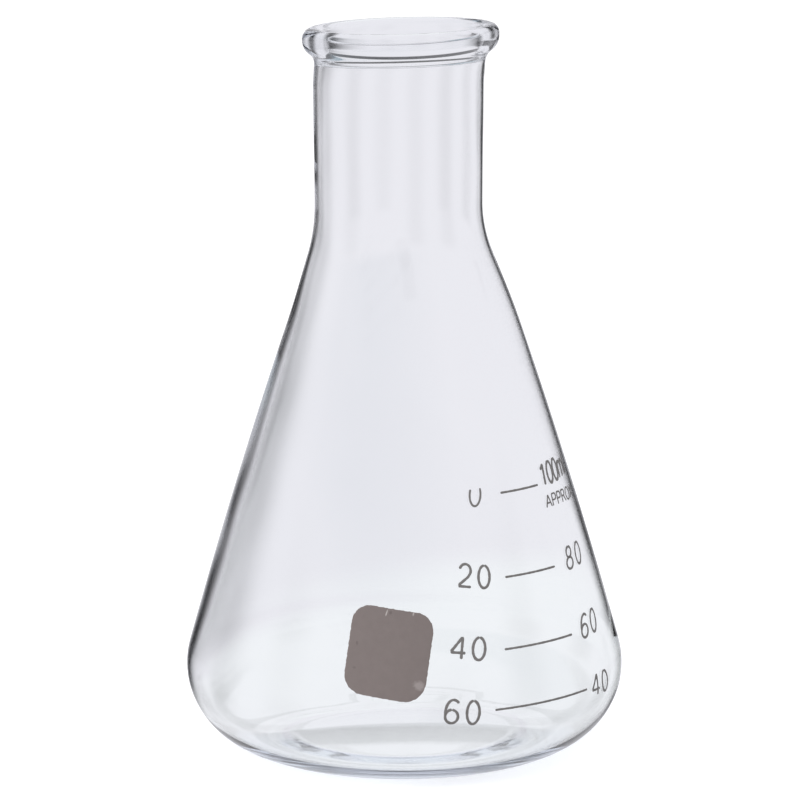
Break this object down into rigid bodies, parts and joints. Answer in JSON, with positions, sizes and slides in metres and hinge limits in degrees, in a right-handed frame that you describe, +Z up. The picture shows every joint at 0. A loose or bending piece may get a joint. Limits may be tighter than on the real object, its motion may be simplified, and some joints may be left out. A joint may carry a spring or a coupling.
{
  "type": "erlenmeyer flask",
  "caption": "Conical glass laboratory flask with a rounded heel, short straight neck, beaded rim, a grey marking patch and graduation lines.",
  "frame": {"origin": "middle of the base, on the plane the flask stands on", "axes": "+Z up along the flask's axis, through the mouth; the print faces -Y; +X to the right as seen from the print's side"},
  "size_m": [0.064, 0.064, 0.1052],
  "materials": {
    "glass": "clear, fire-polished",
    "patch_enamel": "matt fired enamel, warm grey",
    "line_enamel": "matt fired enamel, dark warm grey"
  },
  "bodies": {
    "root": {"flask": "glass", "marking_patch": "patch_enamel", "graduation_lines": "line_enamel"}
  },
  "joints": []
}
